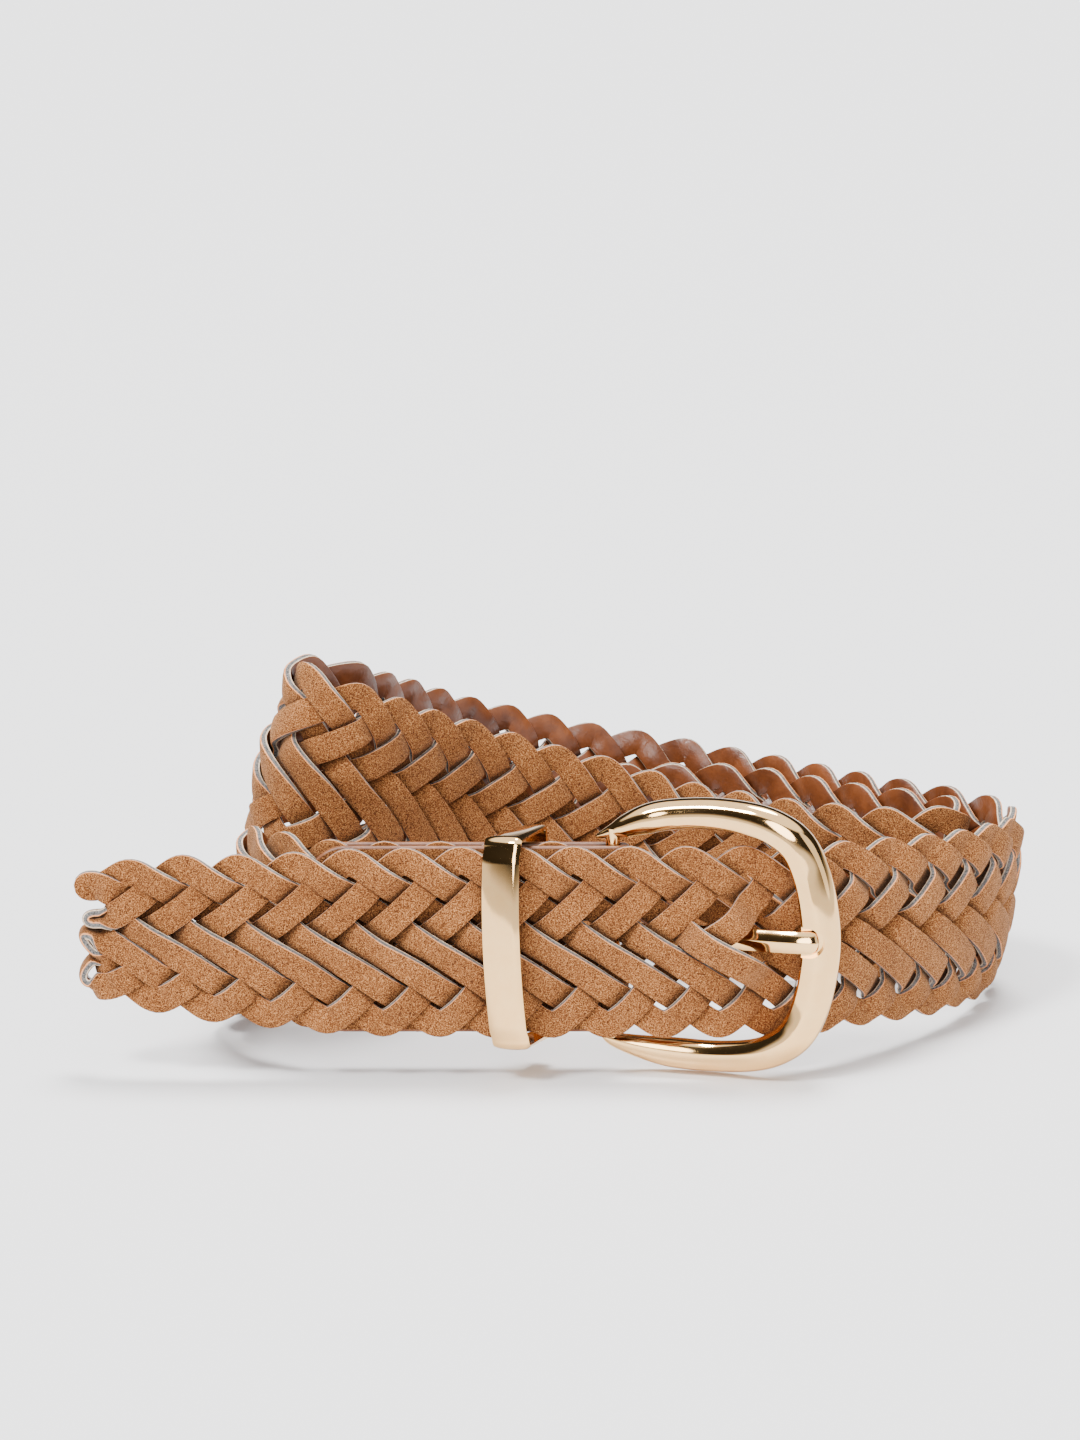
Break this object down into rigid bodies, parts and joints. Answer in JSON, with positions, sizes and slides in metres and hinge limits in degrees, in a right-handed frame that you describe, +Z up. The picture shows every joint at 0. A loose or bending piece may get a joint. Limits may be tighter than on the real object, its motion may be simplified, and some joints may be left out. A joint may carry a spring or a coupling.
{
  "type": "belt",
  "caption": "Flat-braided suede belt, buckled and coiled twice on its edge, with a rounded horseshoe buckle, a prong and a loose metal keeper",
  "frame": {"origin": "middle of the coil's bounding box at floor level", "axes": "+X to the right along the front run of the strap, the free end pointing to -X and the buckle's front bar to +X; +Y from the front (buckle side) to the back of the coil; +Z up"},
  "size_m": [0.1748, 0.1148, 0.0671],
  "materials": {
    "suede": "napped suede outside, smooth glazed brown inside",
    "hide": "smooth semi-gloss",
    "thread": "matt waxed thread",
    "pale_gold": "polished pale gold plating"
  },
  "bodies": {
    "strap": {"strand_1": "suede", "strand_2": "suede", "strand_3": "suede", "strand_4": "suede", "strand_5": "suede", "strand_6": "suede", "strand_7": "suede", "strand_8": "suede", "tab": "hide", "stitching_upper": "thread", "stitching_lower": "thread", "stitching_bar": "thread"},
    "buckle": {"buckle_frame": "pale_gold", "heel_bar": "pale_gold"},
    "prong": {"prong": "pale_gold"},
    "keeper": {"keeper": "pale_gold"}
  },
  "joints": [
    {"name": "buckle_hinge", "type": "hinge", "parent": "strap", "child": "buckle", "pos_m": [0.01037, -0.04458, 0.02438], "axis": [0, 0.0872, 0.9962], "range_deg": [-1.5, 0.8]},
    {"name": "prong_hinge", "type": "hinge", "parent": "buckle", "child": "prong", "pos_m": [0.01037, -0.04458, 0.02438], "axis": [0, 0.0872, 0.9962], "range_deg": [-2, 0]},
    {"name": "keeper_slide", "type": "slide", "parent": "strap", "child": "keeper", "axis": [1, 0, 0], "range_m": [-0.005, 0.005]}
  ]
}
